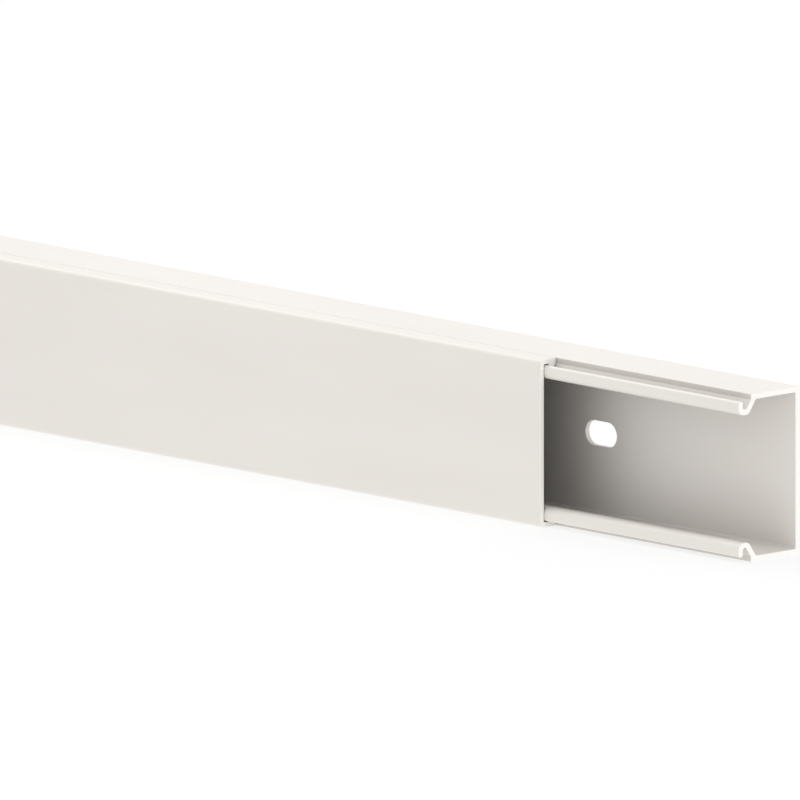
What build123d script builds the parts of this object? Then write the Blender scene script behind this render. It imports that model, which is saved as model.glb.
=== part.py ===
"""Shallow wall trunking for cables: an extruded base channel and the cover that clips onto it.

Frame: X runs along the trunking, the wall face of the base lies on Y = 0 and faces +Y, the cover
faces -Y, and Z is upright. The origin is the middle of the wall face. Sizes are in millimetres.
"""

from build123d import *
from math import cos, radians, sin
import os

# Base channel
base_length = 2000.0
height = 30.0  # over the outer faces of the two side walls, shared by the cover
base_depth = 14.7  # wall face to the front of the lips
base_wall = 1.0  # back wall and side walls
back_corner_radius = 0.3
inner_corner_radius = 0.25

# Sprung lips along the two free edges of the base
lip_wall = 1.0
lip_drop = 3.6  # outer face of the side wall to the underside of the lip
lip_angle = 35.0  # lean of the lip's rear leg away from the upright, in degrees
lip_bottom_radius = 1.2
lip_edge_radius = 0.45
lip_root_radius = 0.3
shoulder_set_back = 2.95  # front of the lips to the shoulder that the cover's flange meets
shoulder_step = 1.0  # upright face of the shoulder
shoulder_edge_radius = 0.25
groove_radius = 0.5

# Cover
cover_length = 2000.0
cover_wall = 0.75
flange_wall = 0.9
cover_corner_radius = 0.9
cover_root_radius = 0.2
nose_reach = 2.2  # outer face of the flange to the tip of its inward nose
nose_radius = 0.25
flange_edge_radius = 0.2

# Fits between the cover and the base
front_clearance = 0.05  # inside of the cover's plate to the front of the lips
lip_top_clearance = 0.2  # inside of the cover's flange to the top of the lip
snap_clearance = 0.1  # flange and nose to the shoulder and the two sides of the groove

# Fixing slots through the back wall
slot_length = 8.0
slot_width = 4.5
slot_end_distance = 50.0  # end of the base to the centre of its first slot
slot_pitch = 100.0

# The cover's right end stands this far short of the base's right end
cover_set_back = 50.0

# Planes that the two sections share, given for the upper half
half_height = height / 2
lip_front = -base_depth
lip_back = lip_front + lip_wall
lip_top = half_height - flange_wall - lip_top_clearance
lip_bottom = half_height - lip_drop
shoulder = lip_front + shoulder_set_back
shoulder_foot = half_height - shoulder_step
lean_run, lean_fall = sin(radians(lip_angle)), cos(radians(lip_angle))


def lean_y(z, inset):
    """Depth of the lip's leaning groove wall at height z, moved square to itself by inset."""
    fall = shoulder_foot - inset * lean_run - z
    return shoulder + inset * lean_fall - fall * lean_run / lean_fall


def lean_z(y, inset):
    """Height of the same moved wall at depth y."""
    run = shoulder + inset * lean_fall - y
    return shoulder_foot - inset * lean_run - run * lean_fall / lean_run


def extruded(upper_corners, start, length):
    """Solid along X whose section is these (y, z, radius) corners and their mirror image below."""
    lower_corners = [(y, -z, radius) for y, z, radius in reversed(upper_corners)]
    corners = upper_corners + lower_corners
    points = [(y, z) for y, z, _ in corners]
    radii = [radius for _, _, radius in corners]
    outline = FilletPolyline(*points, radius=radii, close=True)
    return extrude(Plane.YZ.offset(start) * make_face(outline), amount=length)


def make_base_channel():
    """C channel with a sprung V lip along each free edge and fixing slots in its back wall."""
    inside = half_height - base_wall
    channel = extruded(
        [
            (-base_wall, inside, inner_corner_radius),
            (lean_y(inside, lip_wall), inside, lip_root_radius),
            (lean_y(lip_bottom, lip_wall), lip_bottom, lip_bottom_radius),
            (lip_front, lip_bottom, lip_bottom_radius),
            (lip_front, lip_top, lip_edge_radius),
            (lip_back, lip_top, lip_edge_radius),
            (lip_back, lean_z(lip_back, 0), groove_radius),
            (shoulder, shoulder_foot, 0),
            (shoulder, half_height, shoulder_edge_radius),
            (0, half_height, back_corner_radius),
        ],
        -base_length / 2,
        base_length,
    )
    slot_count = int((base_length - 2 * slot_end_distance) // slot_pitch) + 1
    slot = Plane.XZ * SlotOverall(slot_length, slot_width)
    for number in range(slot_count):
        x = base_length / 2 - slot_end_distance - number * slot_pitch
        channel -= Pos(x, 0, 0) * extrude(slot, amount=base_wall)
    return channel


def make_cover():
    """Flat plate with a short flange along each edge, whose nose hooks behind the base's lip."""
    plate_inside = lip_front - front_clearance
    plate_front = plate_inside - cover_wall
    flange_inside = half_height - flange_wall
    flange_back = shoulder - snap_clearance
    nose_front = lip_back + snap_clearance
    nose_tip = half_height - nose_reach
    return extruded(
        [
            (plate_inside, flange_inside, cover_root_radius),
            (nose_front, flange_inside, 0),
            (nose_front, nose_tip, nose_radius),
            (lean_y(nose_tip, -snap_clearance), nose_tip, nose_radius),
            (flange_back, lean_z(flange_back, -snap_clearance), 0),
            (flange_back, half_height, flange_edge_radius),
            (plate_front, half_height, cover_corner_radius),
        ],
        base_length / 2 - cover_set_back - cover_length,
        cover_length,
    )


os.makedirs("parts", exist_ok=True)
export_step(make_base_channel(), "parts/base_channel.step")
export_step(make_cover(), "parts/cover.step")
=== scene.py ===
"""Looks of the cable trunking: the extruded base channel and the cover that clips onto it.

Everything is in metres in the part's own frame: X along the trunking, the wall face on Y = 0, Z up.
"""

from math import atan2, cos, pi, radians, sin, tan

import bmesh
import bpy
from mathutils import Matrix, Vector


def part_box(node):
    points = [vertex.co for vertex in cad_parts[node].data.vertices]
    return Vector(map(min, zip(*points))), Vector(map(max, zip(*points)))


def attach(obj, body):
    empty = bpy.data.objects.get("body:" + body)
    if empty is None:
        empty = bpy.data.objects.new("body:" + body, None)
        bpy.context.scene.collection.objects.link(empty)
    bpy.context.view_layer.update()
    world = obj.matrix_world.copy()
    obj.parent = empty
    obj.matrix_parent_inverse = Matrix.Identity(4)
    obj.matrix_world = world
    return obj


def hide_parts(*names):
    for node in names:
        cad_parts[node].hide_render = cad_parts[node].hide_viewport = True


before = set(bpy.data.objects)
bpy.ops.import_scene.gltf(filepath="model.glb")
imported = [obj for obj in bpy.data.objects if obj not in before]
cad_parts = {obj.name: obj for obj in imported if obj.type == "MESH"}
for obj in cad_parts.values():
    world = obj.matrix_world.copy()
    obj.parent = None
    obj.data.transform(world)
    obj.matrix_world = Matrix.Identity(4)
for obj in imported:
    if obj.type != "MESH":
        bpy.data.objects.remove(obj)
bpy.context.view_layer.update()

mm = 0.001

# Places and outer sizes, from the frame
base_low, base_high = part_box("base_channel")
cover_low, cover_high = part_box("cover")
half_height = base_high.z
wall_face = base_high.y
lip_front = base_low.y
plate_front = cover_low.y
floor_level = base_low.z

# Section of the base channel
base_wall = 1.0 * mm
back_corner_radius = 0.3 * mm
inner_corner_radius = 0.25 * mm
lip_wall = 1.0 * mm
lip_drop = 3.6 * mm
lip_angle = radians(35.0)
lip_bottom_radius = 1.2 * mm
lip_edge_radius = 0.45 * mm
lip_root_radius = 0.3 * mm
shoulder_set_back = 2.95 * mm
shoulder_step = 1.0 * mm
shoulder_edge_radius = 0.08 * mm
groove_radius = 0.5 * mm

# Section of the cover
flange_wall = 0.9 * mm
cover_corner_radius = 0.9 * mm
cover_root_radius = 0.2 * mm
nose_reach = 2.2 * mm
nose_radius = 0.25 * mm
flange_edge_radius = 0.2 * mm
front_clearance = 0.05 * mm
lip_top_clearance = 0.2 * mm
snap_clearance = 0.1 * mm

# Fixing slots through the back wall
slot_length = 8.0 * mm
slot_width = 4.5 * mm
slot_end_distance = 50.0 * mm
slot_pitch = 100.0 * mm

# Edges as the saw and the punch leave them, the steps of each rounded corner, and the least bend that
# shows as an edge
cut_edge = 0.06 * mm
arc_steps = 10
edge_angle = radians(25)

# Planes that the two sections share, given for the upper half
lip_back = lip_front + lip_wall
lip_top = half_height - flange_wall - lip_top_clearance
lip_bottom = half_height - lip_drop
shoulder = lip_front + shoulder_set_back
shoulder_foot = half_height - shoulder_step

# Numbers of the materials on an extruded length
skin, cut_end, slot_wall, shaded_groove_wall = range(4)

# Colour of each surface where it is darker and where it is paler
skin_tones = ((0.795, 0.757, 0.712), (0.825, 0.787, 0.742))
# Groove walls: the skin's tones made darker, painted shade where the grooves lie in shadow
painted_shade_groove_tones = ((0.710, 0.672, 0.627), (0.740, 0.702, 0.657))
# Sawn ends: paler than the skin, partly the real cut face and partly painted light for the bright light
# on the end faces
sawn_tones_with_painted_light = ((0.86, 0.84, 0.80), (0.93, 0.91, 0.87))
# Slot walls: darker than the skin, painted shade inside the slots
painted_shade_punched_tones = ((0.73, 0.70, 0.66), (0.79, 0.76, 0.72))
floor_tone = (0.92, 0.92, 0.92)

# Roughness of each surface, where it is smoother and where it is rougher
skin_roughness = (0.40, 0.47)
cut_roughness = (0.62, 0.75)
floor_roughness = 0.9

# Fineness of each grain along X, Y and Z, in noise cells per metre
die_lines = (4.0, 2600.0, 2600.0)
clouding = (14.0, 60.0, 60.0)
orange_peel = (2400.0, 2400.0, 2400.0)
tooth_marks = (400.0, 400.0, 5200.0)
streak_detail = 3.0  # of the lines and the marks, in octaves
soft_detail = 2.0  # of the other grain
noise_low, noise_high = 0.3, 0.7  # nearly all of the noise lies between these

# How strongly the relief of each grain shows, and how deep it is
line_strength = 0.25
peel_strength = 0.15
mark_strength = 0.4
skin_relief = 0.02 * mm
cut_relief = 0.03 * mm

# Light of the white surroundings, level with the part, and how much more comes up off the pale floor
surround_level = 0.96
floor_glow = 0.3
floor_size = 40.0
floor_whiteness = 0.78  # share of plain white in what shows of the floor, and the rest takes the shadow

# Direction, side and power of each soft lamp, and their distance from the middle of the picture
lamps = {
    "left_lamp": ((-1.0, -0.08, 1.1), 2.6, 53.0),
    "top_lamp": ((0.0, 0.0, 1.0), 3.0, 11.5),
    "right_lamp": ((1.0, 0.0, 0.47), 2.4, 34.0),
}
lamp_distance = 4.0

# Camera
picture_side = 800
pixels_per_metre = 5687
view_azimuth = radians(46.8)
view_elevation = radians(10.2)
view_distance = 2.0
nearest_seen, furthest_seen = 0.1, 10.0
middle_to_cover_end = 36.2 * mm
middle_height = 3.1 * mm
picture_middle = Vector((cover_high.x - middle_to_cover_end, plate_front, middle_height))


def lean_y(z, inset):
    """Depth of the lip's leaning groove wall at height z, moved square to itself by inset."""
    fall = shoulder_foot - inset * sin(lip_angle) - z
    return shoulder + inset * cos(lip_angle) - fall * tan(lip_angle)


def lean_z(y, inset):
    """Height of the same moved wall at depth y."""
    run = shoulder + inset * cos(lip_angle) - y
    return shoulder_foot - inset * sin(lip_angle) - run / tan(lip_angle)


def base_corners():
    """Upper half of the base's section as (y, z, radius), from the back wall's inner corner round."""
    inside = half_height - base_wall
    return [
        (-base_wall, inside, inner_corner_radius),
        (lean_y(inside, lip_wall), inside, lip_root_radius),
        (lean_y(lip_bottom, lip_wall), lip_bottom, lip_bottom_radius),
        (lip_front, lip_bottom, lip_bottom_radius),
        (lip_front, lip_top, lip_edge_radius),
        (lip_back, lip_top, lip_edge_radius),
        (lip_back, lean_z(lip_back, 0), groove_radius),
        (shoulder, shoulder_foot, 0),
        (shoulder, half_height, shoulder_edge_radius),
        (wall_face, half_height, back_corner_radius),
    ]


def cover_corners():
    """Upper half of the cover's section as (y, z, radius), from the plate's outer corner round."""
    plate_inside = lip_front - front_clearance
    flange_inside = half_height - flange_wall
    flange_back = shoulder - snap_clearance
    nose_front = lip_back + snap_clearance
    nose_tip = half_height - nose_reach
    return [
        (plate_front, half_height, cover_corner_radius),
        (flange_back, half_height, flange_edge_radius),
        (flange_back, lean_z(flange_back, -snap_clearance), 0),
        (lean_y(nose_tip, -snap_clearance), nose_tip, nose_radius),
        (nose_front, nose_tip, nose_radius),
        (nose_front, flange_inside, 0),
        (plate_inside, flange_inside, cover_root_radius),
    ]


def outline(upper_corners, inset):
    """Closed (y, z) outline of the corners and their mirror image, shrunk into the wall by inset."""
    corners = upper_corners + [(y, -z, radius) for y, z, radius in reversed(upper_corners)]
    places = [Vector(corner[:2]) for corner in corners]
    points = []
    for number, (_, _, radius) in enumerate(corners):
        here = places[number]
        arriving = (here - places[number - 1]).normalized()
        leaving = (places[(number + 1) % len(places)] - here).normalized()
        turn = atan2(arriving.x * leaving.y - arriving.y * leaving.x, arriving.dot(leaving))
        inward = Vector((arriving.y, -arriving.x))
        bisector = (inward + Vector((leaving.y, -leaving.x))) / (1 + arriving.dot(leaving))
        corner = here + inset * bisector
        if radius == 0:
            points.append(corner)
            continue
        side = 1 if turn < 0 else -1
        bend = radius - side * inset
        centre = corner + side * bend * bisector
        for step in range(arc_steps + 1):
            points.append(centre - side * bend * (Matrix.Rotation(turn * step / arc_steps, 2) @ inward))
    return points


def slot_loop(mesh, x, y, grow):
    """Corners of one slot's outline at depth y, from the low end of its right-hand round."""
    radius = slot_width / 2 + grow
    reach = (slot_length - slot_width) / 2
    half_turn = 2 * arc_steps
    loop = []
    for side in (1, -1):
        for step in range(half_turn + 1):
            angle = pi * step / half_turn - pi / 2
            place = (x + side * (reach + radius * cos(angle)), y, side * radius * sin(angle))
            loop.append(mesh.verts.new(place))
    return loop


def face_round_slot(mesh, corners, loop):
    """Flat wall between its four corners and the slot, both listed from low right, upwards."""
    low_right, high_right, high_left, low_left = corners
    right, left = loop[: len(loop) // 2], loop[len(loop) // 2 :]
    mesh.faces.new([low_right, high_right, *reversed(right)])
    mesh.faces.new([high_right, high_left, left[0], right[-1]])
    mesh.faces.new([high_left, low_left, *reversed(left)])
    mesh.faces.new([low_left, low_right, right[0], left[-1]])


def cut_slot(mesh, x, near, far, inner, outer):
    """Wall faces with a slot at x, between two rings. inner and outer number the wall's edge corners."""
    depths = [(-base_wall, cut_edge), (-base_wall + cut_edge, 0), (-cut_edge, 0), (wall_face, cut_edge)]
    loops = [slot_loop(mesh, x, y, grow) for y, grow in depths]
    for (low, high), loop in ((inner, loops[0]), (outer, loops[-1])):
        face_round_slot(mesh, (far[low], far[high], near[high], near[low]), loop)
    for front, back in zip(loops, loops[1:]):
        for here in range(len(front)):
            beside = here - 1
            face = mesh.faces.new([front[beside], front[here], back[here], back[beside]])
            face.material_index = slot_wall


def extruded(name, corners, low_x, high_x, slots=()):
    """One extruded length, sawn square, with each slot in a stretch of its own between two rings."""
    mesh = bmesh.new()
    full, shrunk = outline(corners, 0), outline(corners, cut_edge)
    between = [(x + beyond) / 2 for x, beyond in zip(slots, slots[1:])]
    stations = [(low_x, shrunk), (low_x + cut_edge, full)]
    stations += [(x, full) for x in between]
    stations += [(high_x - cut_edge, full), (high_x, shrunk)]
    rings = [[mesh.verts.new((x, *point)) for point in points] for x, points in stations]
    # In the base, the back wall's inner face closes the outline, and its outer face lies halfway round
    last, halfway = len(full) - 1, len(full) // 2 - 1
    inner, outer = (last, 0), (halfway + 1, halfway)
    slotted = dict(enumerate(slots, start=1))
    for number, (near, far) in enumerate(zip(rings, rings[1:])):
        for here in range(len(full)):
            if number in slotted and here in (last, halfway):
                continue
            beyond = (here + 1) % len(full)
            face = mesh.faces.new([near[here], far[here], far[beyond], near[beyond]])
            face.material_index = cut_end if number in (0, len(rings) - 2) else skin
        if number in slotted:
            cut_slot(mesh, slotted[number], near, far, inner, outer)
    for ring in (rings[0], rings[-1]):
        mesh.faces.new(ring).material_index = cut_end
    bmesh.ops.recalc_face_normals(mesh, faces=mesh.faces)
    data = bpy.data.meshes.new(name)
    mesh.to_mesh(data)
    mesh.free()
    data.shade_smooth()
    data.set_sharp_from_angle(angle=edge_angle)
    piece = bpy.data.objects.new(name, data)
    bpy.context.scene.collection.objects.link(piece)
    modifier = piece.modifiers.new("Even normals", "WEIGHTED_NORMAL")
    modifier.keep_sharp = True
    return piece


def mark_painted_groove_shade(piece):
    """Give the walls of the two grooves, from the back of the lip to the shoulder, their own darker
    material, which is painted shade in the grooves.
    """
    tolerance = 0.001 * mm
    for face in piece.data.polygons:
        y, z = face.center.y, abs(face.center.z)
        behind_lip = lip_back - tolerance < y < shoulder + tolerance
        above_leg = z > lean_z(y, lip_wall / 2)
        if face.material_index == skin and behind_lip and above_leg:
            face.material_index = shaded_groove_wall


def make_base():
    """The channel with its lips, slots and sawn ends, in place of the frame's own."""
    slot_count = round((base_high.x - base_low.x - 2 * slot_end_distance) / slot_pitch) + 1
    slots = [base_high.x - slot_end_distance - slot_pitch * number for number in range(slot_count)]
    piece = extruded("channel", base_corners(), base_low.x, base_high.x, sorted(slots))
    mark_painted_groove_shade(piece)
    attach(piece, "base")
    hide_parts("base_channel")
    return piece


def make_cover():
    """The clip-on cover, in place of the frame's own."""
    piece = extruded("cover_strip", cover_corners(), cover_low.x, cover_high.x)
    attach(piece, "cover")
    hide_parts("cover")
    return piece


def add(tree, kind, **settings):
    """A new node of this kind, with these settings."""
    node = tree.nodes.new(kind)
    for key, value in settings.items():
        setattr(node, key, value)
    return node


def material(name):
    """A new node material, with its tree and its principled shader."""
    made = bpy.data.materials.new(name)
    made.use_nodes = True
    return made, made.node_tree, made.node_tree.nodes["Principled BSDF"]


def grain(tree, fineness, detail):
    """Noise in the piece's own space, with this fineness along each axis."""
    place = add(tree, "ShaderNodeTexCoord")
    mapping = add(tree, "ShaderNodeMapping")
    mapping.inputs["Scale"].default_value = fineness
    noise = add(tree, "ShaderNodeTexNoise")
    noise.inputs["Scale"].default_value = 1.0
    noise.inputs["Detail"].default_value = detail
    tree.links.new(place.outputs["Object"], mapping.inputs["Vector"])
    tree.links.new(mapping.outputs["Vector"], noise.inputs["Vector"])
    return noise.outputs["Fac"]


def spread(tree, noise, low, high):
    """The noise stretched to run from low to high."""
    node = add(tree, "ShaderNodeMapRange")
    node.inputs["From Min"].default_value = noise_low
    node.inputs["From Max"].default_value = noise_high
    node.inputs["To Min"].default_value = low
    node.inputs["To Max"].default_value = high
    tree.links.new(noise, node.inputs["Value"])
    return node.outputs["Result"]


def tint(tree, noise, tones):
    """Colour that wanders between the two tones with the noise."""
    mix = add(tree, "ShaderNodeMix", data_type="RGBA")
    mix.inputs["A"].default_value = (*tones[0], 1)
    mix.inputs["B"].default_value = (*tones[1], 1)
    tree.links.new(spread(tree, noise, 0.0, 1.0), mix.inputs["Factor"])
    return mix.outputs["Result"]


def relief(tree, noise, strength, depth):
    """A bump node with this noise as its height."""
    bump = add(tree, "ShaderNodeBump")
    bump.inputs["Strength"].default_value = strength
    bump.inputs["Distance"].default_value = depth
    tree.links.new(noise, bump.inputs["Height"])
    return bump


def skin_pvc(name, tones):
    """Satin extruded PVC: faint die lines along X, a little cloudiness and a fine orange peel."""
    made, tree, shader = material(name)
    link = tree.links.new
    lines = grain(tree, die_lines, streak_detail)
    clouds = grain(tree, clouding, soft_detail)
    peel = grain(tree, orange_peel, soft_detail)
    line_relief = relief(tree, lines, line_strength, skin_relief)
    peel_relief = relief(tree, peel, peel_strength, skin_relief)
    link(tint(tree, clouds, tones), shader.inputs["Base Color"])
    link(spread(tree, lines, *skin_roughness), shader.inputs["Roughness"])
    link(line_relief.outputs["Normal"], peel_relief.inputs["Normal"])
    link(peel_relief.outputs["Normal"], shader.inputs["Normal"])
    return made


def cut_pvc(name, tones):
    """Sawn or punched faces: rougher than the skin, with fine tooth marks."""
    made, tree, shader = material(name)
    link = tree.links.new
    marks = grain(tree, tooth_marks, streak_detail)
    mark_relief = relief(tree, marks, mark_strength, cut_relief)
    link(tint(tree, marks, tones), shader.inputs["Base Color"])
    link(spread(tree, marks, *cut_roughness), shader.inputs["Roughness"])
    link(mark_relief.outputs["Normal"], shader.inputs["Normal"])
    return made


def dress(piece, *materials):
    """Give the piece its materials, in the order of their numbers."""
    for made in materials:
        piece.data.materials.append(made)


def sees_white(tree):
    """1 for the rays that see a plain white background: from the camera, off gloss and through glass."""
    light_path = add(tree, "ShaderNodeLightPath")
    found = light_path.outputs["Is Camera Ray"]
    for kind in ("Is Glossy Ray", "Is Transmission Ray"):
        either = add(tree, "ShaderNodeMath", operation="MAXIMUM")
        tree.links.new(found, either.inputs[0])
        tree.links.new(light_path.outputs[kind], either.inputs[1])
        found = either.outputs["Value"]
    return found


def make_floor():
    """A plain pale floor that shows nearly white and keeps the trunking's shadow."""
    made, tree, shader = material("pale_floor")
    link = tree.links.new
    shader.inputs["Base Color"].default_value = (*floor_tone, 1)
    shader.inputs["Roughness"].default_value = floor_roughness
    shader.inputs["Specular IOR Level"].default_value = 0.0
    white = add(tree, "ShaderNodeEmission")
    share = add(tree, "ShaderNodeMath", operation="MULTIPLY")
    share.inputs[1].default_value = floor_whiteness
    blend = add(tree, "ShaderNodeMixShader")
    link(sees_white(tree), share.inputs[0])
    link(share.outputs["Value"], blend.inputs["Fac"])
    link(shader.outputs["BSDF"], blend.inputs[1])
    link(white.outputs["Emission"], blend.inputs[2])
    link(blend.outputs["Shader"], tree.nodes["Material Output"].inputs["Surface"])
    bpy.ops.mesh.primitive_plane_add(size=floor_size, location=(0, 0, floor_level))
    floor = bpy.context.object
    floor.name = "floor"
    floor.data.materials.append(made)
    floor.visible_diffuse = False  # the light that comes up off it is in the world


def make_world():
    """White surroundings that light the part more from below, and are plain white behind it."""
    world = bpy.data.worlds.new("studio")
    world.use_nodes = True
    tree = world.node_tree
    link = tree.links.new
    lit = tree.nodes["Background"]
    lit.inputs["Color"].default_value = (1, 1, 1, 1)
    direction = add(tree, "ShaderNodeTexCoord")
    height = add(tree, "ShaderNodeSeparateXYZ")
    level = add(tree, "ShaderNodeMath", operation="MULTIPLY_ADD")
    level.inputs[1].default_value = -floor_glow
    level.inputs[2].default_value = surround_level
    seen = add(tree, "ShaderNodeBackground")
    seen.inputs["Color"].default_value = (1, 1, 1, 1)
    blend = add(tree, "ShaderNodeMixShader")
    link(direction.outputs["Generated"], height.inputs["Vector"])
    link(height.outputs["Z"], level.inputs[0])
    link(level.outputs["Value"], lit.inputs["Strength"])
    link(sees_white(tree), blend.inputs["Fac"])
    link(lit.outputs["Background"], blend.inputs[1])
    link(seen.outputs["Background"], blend.inputs[2])
    link(blend.outputs["Shader"], tree.nodes["World Output"].inputs["Surface"])
    bpy.context.scene.world = world


def make_lamp(name, direction, side, power):
    """A square soft lamp that faces the middle of the picture from the given direction."""
    light = bpy.data.lights.new(name, "AREA")
    light.shape = "SQUARE"
    light.size = side
    light.energy = power
    lamp = bpy.data.objects.new(name, light)
    away = Vector(direction).normalized()
    lamp.location = picture_middle + lamp_distance * away
    lamp.rotation_euler = away.to_track_quat("Z", "Y").to_euler()
    bpy.context.scene.collection.objects.link(lamp)


def make_camera():
    """Parallel view from the front right, a little above."""
    back = Vector((
        sin(view_azimuth) * cos(view_elevation),
        -cos(view_azimuth) * cos(view_elevation),
        sin(view_elevation),
    ))
    data = bpy.data.cameras.new("camera")
    data.type = "ORTHO"
    data.ortho_scale = picture_side / pixels_per_metre
    data.clip_start, data.clip_end = nearest_seen, furthest_seen
    camera = bpy.data.objects.new("camera", data)
    camera.location = picture_middle + view_distance * back
    camera.rotation_euler = back.to_track_quat("Z", "Y").to_euler()
    bpy.context.scene.collection.objects.link(camera)
    bpy.context.scene.camera = camera


base = make_base()
cover = make_cover()
# The sawn ends take the paler tones, partly painted light
sawn = cut_pvc("sawn_pvc_painted_light", sawn_tones_with_painted_light)
# The punched slot walls take the darker tones, painted shade
punched = cut_pvc("punched_pvc_painted_shade", painted_shade_punched_tones)
# The grooves get the darker skin, painted shade
dress(base, skin_pvc("base_skin", skin_tones), sawn, punched, skin_pvc("groove_skin_painted_shade", painted_shade_groove_tones))
dress(cover, skin_pvc("cover_skin", skin_tones), sawn)
make_floor()
make_world()
for lamp_name, (direction, side, power) in lamps.items():
    make_lamp(lamp_name, direction, side, power)
make_camera()
bpy.context.scene.view_settings.view_transform = "Standard"
bpy.context.scene.cycles.diffuse_bounces = 1
